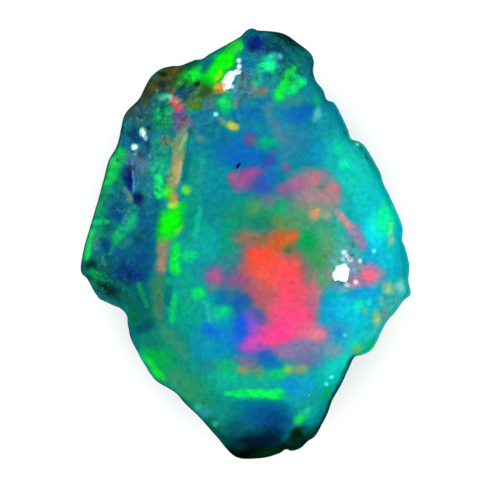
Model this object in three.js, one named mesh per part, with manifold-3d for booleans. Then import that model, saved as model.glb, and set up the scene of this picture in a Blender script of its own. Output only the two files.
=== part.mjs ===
import * as THREE from 'three';
import { mergeVertices } from 'three/addons/utils/BufferGeometryUtils.js';
import Module from 'manifold-3d';

// A rough opal: one glassy stone that lies on a small flat face, best side up.
// A lump with a chipped outline is made first, a low dome above and a shallow keel below.
// Then every fresh face is cut away by a ball, because opal breaks in shallow hollows.
// Millimetres, +Z up, +Y along the stone. The origin is the middle of the box, on the ground.

// Driving dimensions. Everything below is drawn for these sizes and scaled with them.
const WIDTH = 23;
const LENGTH = 30;
const THICKNESS = 12;

// The lump: heights above the ground, and how far its edges are rounded in from the outline.
const CROWN_HEIGHT = 12;
const CROWN_TOP = [1.2, -0.5];
const CROWN_FALL_X = 0.016;
const CROWN_FALL_Y = 0.006;
const KEEL_DEPTH = -0.8;
const KEEL_RISE_X = 0.013;
const KEEL_RISE_Y = 0.008;
const CROWN_SHOULDER = 1.2;
const KEEL_SHOULDER = 4.6;
const CROWN_ROUNDNESS = 2;
const KEEL_ROUNDNESS = 1.7;
const GIRDLE_HEIGHT = 7.2;
const GIRDLE_WAVES = [
  { height: 0.5, turns: 1, phase: 190 },
  { height: 0.35, turns: 3, phase: -50 },
  { height: 0.2, turns: 7, phase: 30 },
];

// Low swellings of the surface: height, wavelength, the way each one runs, and its start.
const SWELLS = [
  { height: 0.1, wavelength: 9, heading: 20, start: 40 },
  { height: 0.07, wavelength: 5.5, heading: 105, start: 200 },
  { height: 0.05, wavelength: 3.8, heading: 60, start: 310 },
];

// The outline seen from above, anticlockwise from the right side, with its chips and notches.
const OUTLINE = [
  [10.9, 0.25], [10.9, 1.25], [10.1, 3.2], [9.6, 4.2], [9.35, 5.05], [8.45, 6.6],
  [7.95, 7.1], [7.35, 7.3], [7.1, 8], [6.65, 9], [6.2, 9.8], [5.65, 10.05],
  [5.4, 10.7], [4.9, 11.35], [4.7, 12.05], [4.75, 12.7], [4.45, 13.35], [3.4, 14.15],
  [2.9, 14.5], [2.35, 14.7], [1.6, 14.8], [0.9, 14.85], [0.4, 15], [0, 14.8],
  [-0.4, 14.4], [-1.35, 13.85], [-2.4, 13.25], [-3, 12.85], [-3.6, 12.75], [-4.5, 12.4],
  [-5.15, 12.35], [-5.9, 12.15], [-6.55, 11.65], [-7, 10.9], [-7.45, 10.05], [-8.1, 9.4],
  [-8.5, 8.8], [-8.8, 7.4], [-9.05, 6.65], [-9.55, 5.75], [-9.9, 4.4], [-10.35, 2.8],
  [-10.9, 0.95], [-11.3, -0.45], [-11.5, -1.65], [-11.4, -2.1], [-11.05, -2.45], [-10.65, -3.15],
  [-10.25, -3.75], [-9.75, -3.95], [-9.2, -4.2], [-8.6, -4.45], [-8.2, -4.9], [-8.15, -5.65],
  [-8, -6.55], [-7.55, -7.45], [-6.85, -8.55], [-6.25, -9.35], [-5.4, -9.95], [-4.85, -10.4],
  [-4.1, -11.25], [-3.25, -12.05], [-2.15, -13.3], [-1.1, -14.55], [-0.45, -14.95], [0.5, -15],
  [1.5, -14.9], [2.4, -14.6], [2.8, -14.35], [3.25, -14.45], [3.85, -14.25], [4.3, -13.8],
  [4.85, -13.4], [5.35, -12.55], [5.95, -11.4], [5.95, -10.95], [6.65, -9.85], [7.3, -8.45],
  [7.6, -7.9], [8.15, -7.75], [8.9, -7.25], [9.75, -5.55], [10.4, -4.8], [11, -4],
  [11.5, -3.5], [11.35, -2.55], [11.4, -1.5], [11.1, -0.25],
];
const CURVE_TENSION = 0.5;
const STEPS_PER_POINT = 3;
const OUTLINE_STEPS = OUTLINE.length * STEPS_PER_POINT;
const OUTLINE_SOFTENING = 5;

// Faces of the upper side. Each ball touches its face at a point, a depth below the crown;
// the face falls towards its heading, in degrees from +X, at its slope.
const CROWN_FACES = {
  leftFace: { at: [-8.6, 1.5], depth: 1.2, heading: 171, slope: 30, radius: 40 },
  leftCorner: { at: [-9.3, -3.1], depth: 1.75, heading: 236, slope: 40, radius: 15 },
  lowerLeftFace: { at: [-5, -8.6], depth: 0.95, heading: 225, slope: 36, radius: 30 },
  footScoop: { at: [1.1, -12.9], depth: 2.5, heading: 270, slope: 34, radius: 6.4 },
  lowerRightFace: { at: [7.6, -7.2], depth: 1.2, heading: 328, slope: 42, radius: 22 },
  footEdge: { at: [4.4, -12.6], depth: 1.7, heading: 318, slope: 44, radius: 9 },
  rightFace: { at: [10.2, 1], depth: 1.1, heading: 17, slope: 44, radius: 26 },
  rightCorner: { at: [10.7, -2.9], depth: 1.5, heading: 340, slope: 44, radius: 8 },
  upperRightFace: { at: [7.4, 6.6], depth: 1, heading: 34, slope: 40, radius: 30 },
  neckFace: { at: [5, 10.4], depth: 1.2, heading: 25, slope: 42, radius: 8 },
  topFace: { at: [1.9, 13.7], depth: 1.1, heading: 82, slope: 38, radius: 12 },
  topLeftFace: { at: [-2.2, 12.6], depth: 1.1, heading: 118, slope: 40, radius: 9 },
  upperLeftFace: { at: [-5.6, 11], depth: 1.3, heading: 130, slope: 36, radius: 8 },
  temple: { at: [-7.6, 8.4], depth: 1.3, heading: 160, slope: 38, radius: 8 },
};

// Small chips on the upper side, in the same terms.
const CROWN_CHIPS = {
  topChip: { at: [3.2, 12.9], depth: 0.8, heading: 60, slope: 30, radius: 4 },
  topDent: { at: [0.6, 13.1], depth: 0.85, heading: 100, slope: 26, radius: 3.4 },
  ringPit: { at: [3.2, 11.2], depth: 0.3, heading: 40, slope: 8, radius: 2.2 },
  shelfChip: { at: [5.1, 9.2], depth: 0.6, heading: 20, slope: 22, radius: 2.6 },
  stepChip: { at: [7.1, 6.3], depth: 0.75, heading: 50, slope: 26, radius: 3 },
  crestChip: { at: [-1.4, 11.6], depth: 0.4, heading: 130, slope: 12, radius: 5 },
  leftDent: { at: [-6.9, 7.3], depth: 0.9, heading: 190, slope: 20, radius: 5 },
  brightDent: { at: [6.6, -2.1], depth: 0.22, heading: 20, slope: 5, radius: 8 },
  footChip: { at: [3.4, -11.6], depth: 0.5, heading: 250, slope: 18, radius: 4 },
  heelChip: { at: [-2.3, -11.6], depth: 1, heading: 232, slope: 36, radius: 5 },
};

// Faces of the underside, each a rise above the keel; they fall away from the ground.
const KEEL_FACES = {
  underRight: { at: [9, 1.2], rise: 3, heading: 6, slope: 58, radius: 40 },
  underUpperRight: { at: [6, 6.6], rise: 2.9, heading: 40, slope: 54, radius: 30 },
  underNeck: { at: [3.9, 10.6], rise: 3, heading: 62, slope: 58, radius: 16 },
  underTop: { at: [-1.6, 11.6], rise: 2.7, heading: 104, slope: 52, radius: 22 },
  underTemple: { at: [-5.8, 9], rise: 3, heading: 132, slope: 56, radius: 14 },
  underUpperLeft: { at: [-7.8, 4.6], rise: 2.8, heading: 160, slope: 52, radius: 26 },
  underLeft: { at: [-9.2, -1.2], rise: 3.4, heading: 198, slope: 50, radius: 18 },
  underLowerLeft: { at: [-5.9, -6.6], rise: 3, heading: 226, slope: 56, radius: 24 },
  underFoot: { at: [-0.6, -12.4], rise: 2.8, heading: 255, slope: 54, radius: 16 },
  underHeel: { at: [3.4, -11.6], rise: 3, heading: 300, slope: 56, radius: 14 },
  underLowerRight: { at: [7, -6], rise: 2.8, heading: 322, slope: 52, radius: 30 },
};

// Flake scars around the side, below the widest line.
const SIDE_SCARS = {
  rightScar: { at: [10.2, -2], rise: 4.2, heading: 350, slope: 66, radius: 6 },
  shoulderScar: { at: [8.1, 5.2], rise: 4, heading: 28, slope: 64, radius: 5 },
  topScar: { at: [1, 13.6], rise: 3.9, heading: 84, slope: 64, radius: 4 },
  browScar: { at: [-3.6, 11.5], rise: 4.6, heading: 112, slope: 62, radius: 5 },
  leftScar: { at: [-9.2, 3.4], rise: 4.6, heading: 166, slope: 62, radius: 7 },
  notchScar: { at: [-7, -6.4], rise: 4.2, heading: 210, slope: 66, radius: 4 },
  lowerLeftScar: { at: [-3.8, -10.2], rise: 4, heading: 232, slope: 64, radius: 6 },
  footScar: { at: [1.6, -13.4], rise: 3.4, heading: 276, slope: 62, radius: 4 },
  lowerRightScar: { at: [8.8, -5], rise: 4.2, heading: 326, slope: 64, radius: 5 },
};

// Mesh settings: how far a ball's facets stray from it, the lump's rings of points at the edge
// and over the middle, the block under the ground, and how close two points become one.
const MESH_TOLERANCE = 0.02;
const SHOULDER_RINGS = 6;
const INNER_RINGS = 6;
const GROUND_SIZE = 80;
const WELD = 1e-4;

const radians = THREE.MathUtils.degToRad;

function swell(x, y) {
  let height = 0;
  for (const wave of SWELLS) {
    const along = x * Math.cos(radians(wave.heading)) + y * Math.sin(radians(wave.heading));
    height += wave.height * Math.sin(2 * Math.PI * along / wave.wavelength + radians(wave.start));
  }
  return height;
}

function crown(x, y) {
  const fallX = CROWN_FALL_X * (x - CROWN_TOP[0]) ** 2;
  const fallY = CROWN_FALL_Y * (y - CROWN_TOP[1]) ** 2;
  return CROWN_HEIGHT - fallX - fallY + swell(x, y);
}

function keel(x, y) {
  return KEEL_DEPTH + KEEL_RISE_X * x * x + KEEL_RISE_Y * y * y + swell(y, x);
}

function girdle(angle) {
  let height = GIRDLE_HEIGHT;
  for (const wave of GIRDLE_WAVES) {
    height += wave.height * Math.cos(wave.turns * angle - radians(wave.phase));
  }
  return height;
}

// The edge's rounding: 0 on the outline, 1 where the dome or the keel begins.
function rounding(inset, roundness) {
  return (1 - (1 - inset) ** roundness) ** (1 / roundness);
}

// The outline as directions and reaches from the middle, drawn to the exact width and length.
// The soft reach lies just inside it and forgets the small chips.
function outlineRays() {
  const points = OUTLINE.map(([x, y]) => new THREE.Vector3(x, y, 0));
  const curve = new THREE.CatmullRomCurve3(points, true, 'catmullrom', CURVE_TENSION);
  const samples = [];
  for (let i = 0; i < OUTLINE_STEPS; i++) samples.push(curve.getPoint(i / OUTLINE_STEPS));
  const box = new THREE.Box3().setFromPoints(samples);
  const middle = box.getCenter(new THREE.Vector3());
  const size = box.getSize(new THREE.Vector3());
  const fit = new THREE.Vector3(WIDTH / size.x, LENGTH / size.y, 1);
  const rays = samples.map((sample) => {
    const point = sample.sub(middle).multiply(fit);
    return { angle: Math.atan2(point.y, point.x), reach: point.length() };
  });
  const inner = rays.map((ray, i) => Math.min(...neighbours(rays, i).map(({ reach }) => reach)));
  rays.forEach((ray, i) => {
    const around = neighbours(inner, i);
    ray.soft = around.reduce((sum, reach) => sum + reach) / around.length;
  });
  return rays;
}

function neighbours(list, middle) {
  const found = [];
  for (let k = -OUTLINE_SOFTENING; k <= OUTLINE_SOFTENING; k++) {
    found.push(list[(middle + k + list.length) % list.length]);
  }
  return found;
}

// Rings of the lump from the outline inwards: how far into the shoulder, and how far to the middle.
function ringPlan() {
  const plan = [];
  for (let k = 1; k <= SHOULDER_RINGS; k++) {
    const inset = 1 - Math.cos(k / SHOULDER_RINGS * Math.PI / 2);
    plan.push({ inset, shrink: 1, skip: k < SHOULDER_RINGS / 2 ? 1 : 2 });
  }
  for (let k = 1; k < INNER_RINGS; k++) {
    plan.push({ inset: 1, shrink: 1 - k / INNER_RINGS, skip: k < INNER_RINGS / 2 ? 4 : 8 });
  }
  return plan;
}

// One side of the lump, upper or lower: rings of points that thin out towards the middle.
function addSide(positions, triangles, rays, side) {
  let outer = rays.map((ray, i) => i);
  let outerSkip = 1;
  const face = (a, b, c) => triangles.push(...(side.upper ? [a, b, c] : [a, c, b]));
  for (const { inset, shrink, skip } of ringPlan()) {
    const inner = [];
    for (let i = 0; i < OUTLINE_STEPS; i += skip) {
      const { angle, reach, soft } = rays[i];
      const rounded = rounding(inset, side.roundness);
      const radius = (reach + (soft - reach) * rounded - inset * side.shoulder) * shrink;
      const x = radius * Math.cos(angle);
      const y = radius * Math.sin(angle);
      const base = girdle(angle);
      const z = base + (side.surface(x, y) - base) * rounded;
      inner.push(positions.length / 3);
      positions.push(x, y, z);
    }
    const ratio = skip / outerSkip;
    inner.forEach((a, i) => {
      const b = inner[(i + 1) % inner.length];
      const start = outer[i * ratio];
      const middle = outer[(i * ratio + 1) % outer.length];
      face(start, middle, a);
      face(middle, b, a);
      if (ratio === 2) face(middle, outer[(i * ratio + 2) % outer.length], b);
    });
    outer = inner;
    outerSkip = skip;
  }
  const centre = positions.length / 3;
  positions.push(0, 0, side.surface(0, 0));
  outer.forEach((a, i) => face(a, outer[(i + 1) % outer.length], centre));
}

function lumpGeometry() {
  const rays = outlineRays();
  const positions = [];
  const triangles = [];
  for (const { angle, reach } of rays) {
    positions.push(reach * Math.cos(angle), reach * Math.sin(angle), girdle(angle));
  }
  const upper = { upper: true, surface: crown, shoulder: CROWN_SHOULDER, roundness: CROWN_ROUNDNESS };
  const lower = { upper: false, surface: keel, shoulder: KEEL_SHOULDER, roundness: KEEL_ROUNDNESS };
  addSide(positions, triangles, rays, upper);
  addSide(positions, triangles, rays, lower);
  const geometry = new THREE.BufferGeometry();
  geometry.setAttribute('position', new THREE.Float32BufferAttribute(positions, 3));
  geometry.setIndex(triangles);
  return geometry;
}

// A ball that touches its face at a point and lies outside the stone there. The face falls
// towards its heading; it looks up on the crown and down on the keel.
function faceBall(contact, { heading, slope, radius }, lookUp) {
  const spread = Math.sin(radians(slope));
  const outward = new THREE.Vector3(
    spread * Math.cos(radians(heading)),
    spread * Math.sin(radians(heading)),
    lookUp * Math.cos(radians(slope)),
  );
  const facetEdge = Math.sqrt(8 * radius * MESH_TOLERANCE);
  const geometry = new THREE.IcosahedronGeometry(radius, Math.ceil(radius / facetEdge));
  const middle = contact.addScaledVector(outward, radius);
  return geometry.translate(middle.x, middle.y, middle.z);
}

function crownBall(face) {
  const [x, y] = face.at;
  return faceBall(new THREE.Vector3(x, y, crown(x, y) - face.depth), face, 1);
}

function keelBall(face) {
  const [x, y] = face.at;
  return faceBall(new THREE.Vector3(x, y, keel(x, y) + face.rise), face, -1);
}

const wasm = await Module();
wasm.setup();

function toSolid(geometry) {
  const bare = new THREE.BufferGeometry();
  bare.setAttribute('position', geometry.getAttribute('position'));
  bare.setIndex(geometry.getIndex());
  const merged = mergeVertices(bare, WELD);
  return new wasm.Manifold(new wasm.Mesh({
    numProp: 3,
    vertProperties: new Float32Array(merged.getAttribute('position').array),
    triVerts: new Uint32Array(merged.getIndex().array),
  }));
}

function toGeometry(solid) {
  const { vertProperties, triVerts } = solid.getMesh();
  const geometry = new THREE.BufferGeometry();
  geometry.setAttribute('position', new THREE.BufferAttribute(vertProperties, 3));
  geometry.setIndex(new THREE.BufferAttribute(triVerts, 1));
  return geometry;
}

function opalGeometry() {
  const balls = [
    ...Object.values({ ...CROWN_FACES, ...CROWN_CHIPS }).map(crownBall),
    ...Object.values({ ...KEEL_FACES, ...SIDE_SCARS }).map(keelBall),
  ];
  const ground = new THREE.BoxGeometry(GROUND_SIZE, GROUND_SIZE, GROUND_SIZE);
  ground.translate(0, 0, -GROUND_SIZE / 2);
  let stone = toSolid(lumpGeometry());
  for (const cutter of [...balls, ground]) stone = stone.subtract(toSolid(cutter));
  const geometry = toGeometry(stone);
  geometry.computeBoundingBox();
  geometry.scale(1, 1, THICKNESS / geometry.boundingBox.max.z);
  geometry.computeVertexNormals();
  return geometry;
}

const opal = new THREE.Mesh(
  opalGeometry(),
  new THREE.MeshStandardMaterial({ color: 0x0f8f95, roughness: 0.12, metalness: 0 }),
);
opal.name = 'opal';

const stone = new THREE.Group();
stone.add(opal);

export default stone;
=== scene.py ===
import math

import bpy
import numpy as np
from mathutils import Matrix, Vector


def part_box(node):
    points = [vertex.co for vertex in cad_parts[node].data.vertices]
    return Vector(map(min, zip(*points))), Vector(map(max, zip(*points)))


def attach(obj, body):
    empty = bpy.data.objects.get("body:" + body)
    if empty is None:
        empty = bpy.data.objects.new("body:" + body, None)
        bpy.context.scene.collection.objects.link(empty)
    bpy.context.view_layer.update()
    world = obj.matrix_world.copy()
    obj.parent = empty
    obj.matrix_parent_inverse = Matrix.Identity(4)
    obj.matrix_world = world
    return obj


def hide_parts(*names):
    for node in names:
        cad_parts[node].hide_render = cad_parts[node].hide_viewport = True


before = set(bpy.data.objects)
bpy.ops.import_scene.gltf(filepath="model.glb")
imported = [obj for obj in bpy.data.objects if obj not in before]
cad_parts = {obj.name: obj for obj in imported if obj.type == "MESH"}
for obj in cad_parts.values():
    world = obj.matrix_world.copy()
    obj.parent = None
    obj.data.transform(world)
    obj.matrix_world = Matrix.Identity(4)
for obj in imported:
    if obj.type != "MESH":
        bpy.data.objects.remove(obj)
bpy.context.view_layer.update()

opal_low, opal_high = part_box("opal")

MM = 0.001
WIDTH, LENGTH, THICKNESS = ((high - low) / MM for low, high in zip(opal_low, opal_high))

# ---- the view
AIM = (0.365, -0.512, 7.2)      # the place the camera looks at, mm
VIEW_WIDTH = 34.94              # mm across the picture at that place
LENS = 400
SENSOR = 36
CAMERA_DISTANCE = VIEW_WIDTH * LENS / SENSOR

# Places are read in the picture's own pixels and put on the stone by these two values.
PICTURE_SCALE = 0.0696          # mm across one pixel at the girdle
PICTURE_MIDDLE = (245.75, 243.65)

# ---- the shape
# The lump, its swellings and its faces are the CAD solid's own, in millimetres. So is the outline,
# but for up to 0.2 mm let out at the lower left and two points moved at the lower right.
CROWN_HEIGHT = 12
CROWN_TOP = (1.2, -0.5)
CROWN_FALL_X = 0.016
CROWN_FALL_Y = 0.006
KEEL_DEPTH = -0.8
KEEL_RISE_X = 0.013
KEEL_RISE_Y = 0.008
CROWN_SHOULDER = 1.2
KEEL_SHOULDER = 4.6
CROWN_ROUNDNESS = 2
KEEL_ROUNDNESS = 1.7
GIRDLE_HEIGHT = 7.2
# Height, turns and phase.
GIRDLE_WAVES = [(0.5, 1, 190), (0.35, 3, -50), (0.2, 7, 30)]
# Height, wavelength, heading and start.
SWELLS = [(0.1, 9, 20, 40), (0.07, 5.5, 105, 200), (0.05, 3.8, 60, 310)]
OUTLINE = [
    (10.9, 0.25), (10.9, 1.25), (10.1, 3.2), (9.6, 4.2), (9.35, 5.05), (8.45, 6.6),
    (7.95, 7.1), (7.35, 7.3), (7.1, 8), (6.65, 9), (6.2, 9.8), (5.65, 10.05),
    (5.4, 10.7), (4.9, 11.35), (4.7, 12.05), (4.75, 12.7), (4.45, 13.35), (3.4, 14.15),
    (2.9, 14.5), (2.35, 14.7), (1.6, 14.8), (0.9, 14.85), (0.4, 15), (0, 14.8),
    (-0.4, 14.4), (-1.35, 13.85), (-2.4, 13.25), (-3, 12.85), (-3.6, 12.75), (-4.5, 12.4),
    (-5.15, 12.35), (-5.9, 12.15), (-6.55, 11.65), (-7, 10.9), (-7.45, 10.05), (-8.1, 9.4),
    (-8.5, 8.8), (-8.8, 7.4), (-9.05, 6.65), (-9.55, 5.75), (-9.9, 4.4), (-10.35, 2.8),
    (-10.9, 0.95), (-11.3, -0.45), (-11.5, -1.65), (-11.4, -2.1), (-11.05, -2.45), (-10.65, -3.15),
    (-10.3, -3.8), (-9.85, -4.05), (-9.3, -4.3), (-8.7, -4.55), (-8.32, -5), (-8.3, -5.75),
    (-8.16, -6.68), (-7.7, -7.6), (-6.98, -8.71), (-6.34, -9.47), (-5.45, -10.03), (-4.85, -10.4),
    (-4.1, -11.25), (-3.25, -12.05), (-2.15, -13.3), (-1.1, -14.55), (-0.45, -14.95), (0.5, -15),
    (1.5, -14.9), (2.4, -14.6), (2.8, -14.35), (3.25, -14.45), (3.85, -14.25), (4.3, -13.8),
    (4.85, -13.4), (5.35, -12.55), (5.74, -11.75), (6.06, -10.88), (6.65, -9.85), (7.3, -8.45),
    (7.6, -7.9), (8.15, -7.75), (8.9, -7.25), (9.75, -5.55), (10.4, -4.8), (11, -4),
    (11.5, -3.5), (11.35, -2.55), (11.4, -1.5), (11.1, -0.25),
]

# Hollow faces, each cut by a ball that touches it: place, depth or rise, heading, slope, radius.
CROWN_FACES = dict(
    leftFace=(-8.6, 1.5, 1.2, 171, 30, 40),
    leftCorner=(-9.3, -3.1, 1.75, 236, 40, 15),
    lowerLeftFace=(-5, -8.6, 0.95, 225, 36, 30),
    footScoop=(1.1, -12.9, 2.5, 270, 34, 6.4),
    lowerRightFace=(7.6, -7.2, 1.2, 328, 42, 22),
    footEdge=(4.4, -12.6, 1.7, 318, 44, 9),
    rightFace=(10.2, 1, 1.1, 17, 44, 26),
    rightCorner=(10.7, -2.9, 1.5, 340, 44, 8),
    upperRightFace=(7.4, 6.6, 1, 34, 40, 30),
    neckFace=(5, 10.4, 1.2, 25, 42, 8),
    topFace=(1.9, 13.7, 1.1, 82, 38, 12),
    topLeftFace=(-2.2, 12.6, 1.1, 118, 40, 9),
    upperLeftFace=(-5.6, 11, 1.3, 130, 36, 8),
    temple=(-7.6, 8.4, 1.3, 160, 38, 8),
    topChip=(3.2, 12.9, 0.8, 60, 30, 4),
    topDent=(0.6, 13.1, 0.85, 100, 26, 3.4),
    ringPit=(3.2, 11.2, 0.3, 40, 8, 2.2),
    shelfChip=(5.1, 9.2, 0.6, 20, 22, 2.6),
    stepChip=(7.1, 6.3, 0.75, 50, 26, 3),
    crestChip=(-1.4, 11.6, 0.4, 130, 12, 5),
    leftDent=(-6.9, 7.3, 0.9, 190, 20, 5),
    brightDent=(6.6, -2.1, 0.22, 20, 5, 8),
    footChip=(3.4, -11.6, 0.5, 250, 18, 4),
    heelChip=(-2.3, -11.6, 1, 232, 36, 5),
)
KEEL_FACES = dict(
    underRight=(9, 1.2, 3, 6, 58, 40),
    underUpperRight=(6, 6.6, 2.9, 40, 54, 30),
    underNeck=(3.9, 10.6, 3, 62, 58, 16),
    underTop=(-1.6, 11.6, 2.7, 104, 52, 22),
    underTemple=(-5.8, 9, 3, 132, 56, 14),
    underUpperLeft=(-7.8, 4.6, 2.8, 160, 52, 26),
    underLeft=(-9.2, -1.2, 3.4, 198, 50, 18),
    underLowerLeft=(-5.9, -6.6, 3, 226, 56, 24),
    underFoot=(-0.6, -12.4, 2.8, 255, 54, 16),
    underHeel=(3.4, -11.6, 3, 300, 56, 14),
    underLowerRight=(7, -6, 2.8, 322, 52, 30),
    rightScar=(10.2, -2, 4.2, 350, 66, 6),
    shoulderScar=(8.1, 5.2, 4, 28, 64, 5),
    topScar=(1, 13.6, 3.9, 84, 64, 4),
    browScar=(-3.6, 11.5, 4.6, 112, 62, 5),
    leftScar=(-9.2, 3.4, 4.6, 166, 62, 7),
    notchScar=(-7, -6.4, 4.2, 210, 66, 4),
    lowerLeftScar=(-3.8, -10.2, 4, 232, 64, 6),
    footScar=(1.6, -13.4, 3.4, 276, 62, 4),
    lowerRightScar=(8.8, -5, 4.2, 326, 64, 5),
)

# The mesh: points along the outline, and how much of each side's grid its rounded edge takes.
STEPS_PER_POINT = 12
OUTLINE_STEPS = len(OUTLINE) * STEPS_PER_POINT
OUTLINE_SOFTENING = 20
CROWN_EDGE_SHARE = 0.13
KEEL_EDGE_SHARE = 0.5
HEART = np.array([0.3, 0.2, 5.8])   # every face is seen whole from here
FAR = 1e3                           # mm, for a face that a ray misses
EDGE_WEAR = 0.22                    # how widely two faces run into each other
LEAST_WEAR = 0.4                    # the share of it that the smallest faces keep
FULL_FACE_RADIUS = 12               # smaller faces are worn and stray less
FACE_REACH = 1                      # how far outside the lump a face is still reckoned with
FACE_WANDER = 0.16                  # how far a face's edges stray
FACE_WANDER_SIZE = 1.7
FACE_SHIFT = 3.1                    # each face reads its own part of the noise
RIPPLE_HEIGHT = 0.012
RIPPLE_LENGTH = 0.9
RIPPLE_WANDER = (3, 2)              # the size and strength of the ripples' bends
STRIKE_OUT, STRIKE_BACK = 0.2, 3.5  # the ripples spread from a blow this far off the face's place
SURFACE_BUMPS = [(2.4, 0.02), (0.8, 0.012), (0.35, 0.006)]  # size and height
BUMP_SHIFT = 50                     # and so does each size of bump

SEED = 11
LATTICE_SIZE = 32
OCTAVE_SHIFT = 7.3
_lattice = np.random.default_rng(SEED).uniform(-1, 1, (LATTICE_SIZE,) * 3)


def grain(points, scale, octaves=1, shift=0.0):
    """Smooth random heights from -1 to 1 at points in mm; scale is the size of a bump in mm."""
    total, weight = np.zeros(len(points)), 0.0
    for octave in range(octaves):
        p = points / scale * 2 ** octave + shift + OCTAVE_SHIFT * octave
        cell = np.floor(p).astype(int)
        f = p - cell
        f = f * f * (3 - 2 * f)
        height = np.zeros(len(points))
        for corner in np.ndindex(2, 2, 2):
            w = np.prod(np.where(corner, f, 1 - f), axis=1)
            i, j, k = ((cell + corner) % LATTICE_SIZE).T
            height += w * _lattice[i, j, k]
        total += height / 2 ** octave
        weight += 1 / 2 ** octave
    return total / weight


def swell(x, y):
    height = 0
    for size, wavelength, heading, start in SWELLS:
        along = x * math.cos(math.radians(heading)) + y * math.sin(math.radians(heading))
        height = height + size * np.sin(2 * math.pi * along / wavelength + math.radians(start))
    return height


def crown(x, y):
    return (CROWN_HEIGHT - CROWN_FALL_X * (x - CROWN_TOP[0]) ** 2
            - CROWN_FALL_Y * (y - CROWN_TOP[1]) ** 2 + swell(x, y))


def keel(x, y):
    return KEEL_DEPTH + KEEL_RISE_X * x * x + KEEL_RISE_Y * y * y + swell(y, x)


def girdle(angle):
    waves = (height * np.cos(turns * angle - math.radians(phase)) for height, turns, phase in GIRDLE_WAVES)
    return GIRDLE_HEIGHT + sum(waves)


def rounding(inset, roundness):
    return (1 - (1 - inset) ** roundness) ** (1 / roundness)


def outline_rays():
    """The outline as angle, reach and soft reach at each step round it."""
    p = np.array(OUTLINE, float)
    before, after, beyond = np.roll(p, 1, 0), np.roll(p, -1, 0), np.roll(p, -2, 0)
    leave, arrive = (after - before) / 2, (beyond - p) / 2
    t = (np.arange(STEPS_PER_POINT) / STEPS_PER_POINT)[None, :, None]
    p, after, leave, arrive = (v[:, None, :] for v in (p, after, leave, arrive))
    square, cube = 3 * (after - p) - 2 * leave - arrive, 2 * (p - after) + leave + arrive
    curve = (p + leave * t + square * t ** 2 + cube * t ** 3).reshape(-1, 2)
    low, high = curve.min(0), curve.max(0)
    curve = (curve - (low + high) / 2) * np.array([WIDTH, LENGTH]) / (high - low)
    angle = np.unwrap(np.arctan2(curve[:, 1], curve[:, 0]))
    reach = np.hypot(curve[:, 0], curve[:, 1])
    shifts = range(-OUTLINE_SOFTENING, OUTLINE_SOFTENING + 1)
    inner = np.min([np.roll(reach, k) for k in shifts], axis=0)
    soft = np.mean([np.roll(inner, k) for k in shifts], axis=0)
    return angle, reach, soft


def side_grid(cells, rays, upper):
    """One side of the lump as a square grid of points, its border on the outline."""
    step = np.linspace(-1, 1, cells + 1)
    a, b = (g.ravel() for g in np.meshgrid(step, step, indexing="ij"))
    with np.errstate(divide="ignore", invalid="ignore"):
        flat, tall = b / a / 8, a / b / 8
    sideways, lengthways = np.where(a > 0, flat, 0.5 + flat), np.where(b > 0, 0.25 - tall, 0.75 - tall)
    turn = np.nan_to_num(np.where(np.abs(a) >= np.abs(b), sideways, lengthways)) % 1
    ring = np.maximum(np.abs(a), np.abs(b))
    angle, reach, soft = rays
    at = turn * OUTLINE_STEPS
    steps = np.arange(OUTLINE_STEPS + 1)
    angle = np.interp(at, steps, np.append(angle, angle[0] + 2 * math.pi))
    reach, soft = (np.interp(at, steps, np.append(v, v[0])) for v in (reach, soft))
    share, shoulder, roundness, surface = (
        (CROWN_EDGE_SHARE, CROWN_SHOULDER, CROWN_ROUNDNESS, crown) if upper
        else (KEEL_EDGE_SHARE, KEEL_SHOULDER, KEEL_ROUNDNESS, keel)
    )
    inset = 1 - np.cos(np.clip((1 - ring) / share, 0, 1) * math.pi / 2)
    rounded = rounding(inset, roundness)
    radius = (reach + (soft - reach) * rounded - inset * shoulder) * np.clip(ring / (1 - share), 0, 1)
    x, y = radius * np.cos(angle), radius * np.sin(angle)
    base = girdle(angle)
    return np.column_stack([x, y, base + (surface(x, y) - base) * rounded])


def melt(a, b, width):
    """The smaller of a and b, with the corner between them worn over a width."""
    near = np.clip(width - np.abs(a - b), 0, None) / width
    return np.minimum(a, b) - near * near * width / 4


def cut_faces(points):
    """The lump's points moved in to the nearest hollow face, or to the ground."""
    ray = points - HEART
    reach = np.linalg.norm(ray, axis=1)
    ray /= reach[:, None]
    number = 0
    for faces, surface, look_up in ((CROWN_FACES, crown, 1), (KEEL_FACES, keel, -1)):
        for x, y, depth, heading, slope, radius in faces.values():
            number += 1
            touch = np.array([x, y, surface(x, y) - look_up * depth])
            spread = math.sin(math.radians(slope))
            outward = np.array([
                spread * math.cos(math.radians(heading)),
                spread * math.sin(math.radians(heading)),
                look_up * math.cos(math.radians(slope)),
            ])
            middle = touch + outward * radius - HEART
            along = ray @ middle
            inside = along ** 2 - middle @ middle + radius ** 2
            hit = np.where((inside > 0) & (along > 0), along - np.sqrt(np.clip(inside, 0, None)), FAR)
            close = hit < reach + FACE_REACH
            if not close.any():
                continue
            where = points[close]
            small = min(1.0, radius / FULL_FACE_RADIUS)
            stray = grain(where, FACE_WANDER_SIZE, 3, number * FACE_SHIFT) * FACE_WANDER * small
            strike = touch + outward * STRIKE_OUT - STRIKE_BACK * np.array([outward[0], outward[1], 0])
            far = np.linalg.norm(where - strike, axis=1)
            size, strength = RIPPLE_WANDER
            bends = grain(where, size, 1, number) * strength
            hit[close] += stray + RIPPLE_HEIGHT * np.sin(far * 2 * math.pi / RIPPLE_LENGTH + bends)
            reach = melt(reach, hit, EDGE_WEAR * max(small, LEAST_WEAR))
    ground = np.where(ray[:, 2] < 0, -HEART[2] / np.minimum(ray[:, 2], -1e-6), FAR)
    reach = melt(reach, ground, EDGE_WEAR)
    return HEART + ray * reach[:, None]


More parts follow.
